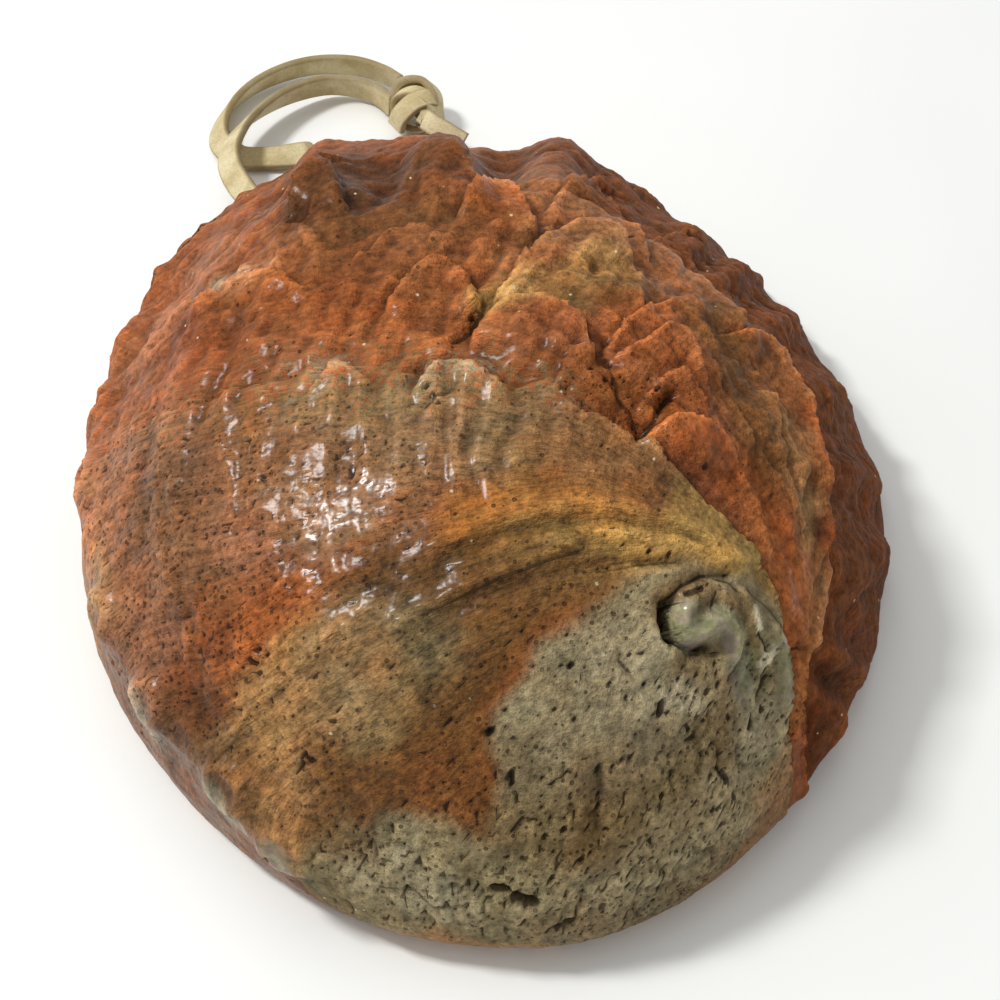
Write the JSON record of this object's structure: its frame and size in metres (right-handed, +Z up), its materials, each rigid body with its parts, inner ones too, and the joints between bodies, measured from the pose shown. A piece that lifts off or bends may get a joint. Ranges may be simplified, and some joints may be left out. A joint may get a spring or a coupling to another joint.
{
  "type": "abalone shell",
  "caption": "Domed ear-shaped sea shell with a row of pores along one side, resting mouth down, with a knotted leather lace looped through its pores.",
  "frame": {"origin": "middle of the shell's base, on the surface it rests on", "axes": "+Z up through the dome, +Y along the shell's length towards its front edge and the lace, +X towards its growing lip, away from the row of pores"},
  "size_m": [0.152, 0.2338, 0.0623],
  "materials": {
    "shell": "wet-looking gloss over rough, pitted layers",
    "lace": "matt"
  },
  "bodies": {
    "root": {"shell": "shell", "lace": "lace", "lace_knot": "lace"}
  },
  "joints": []
}
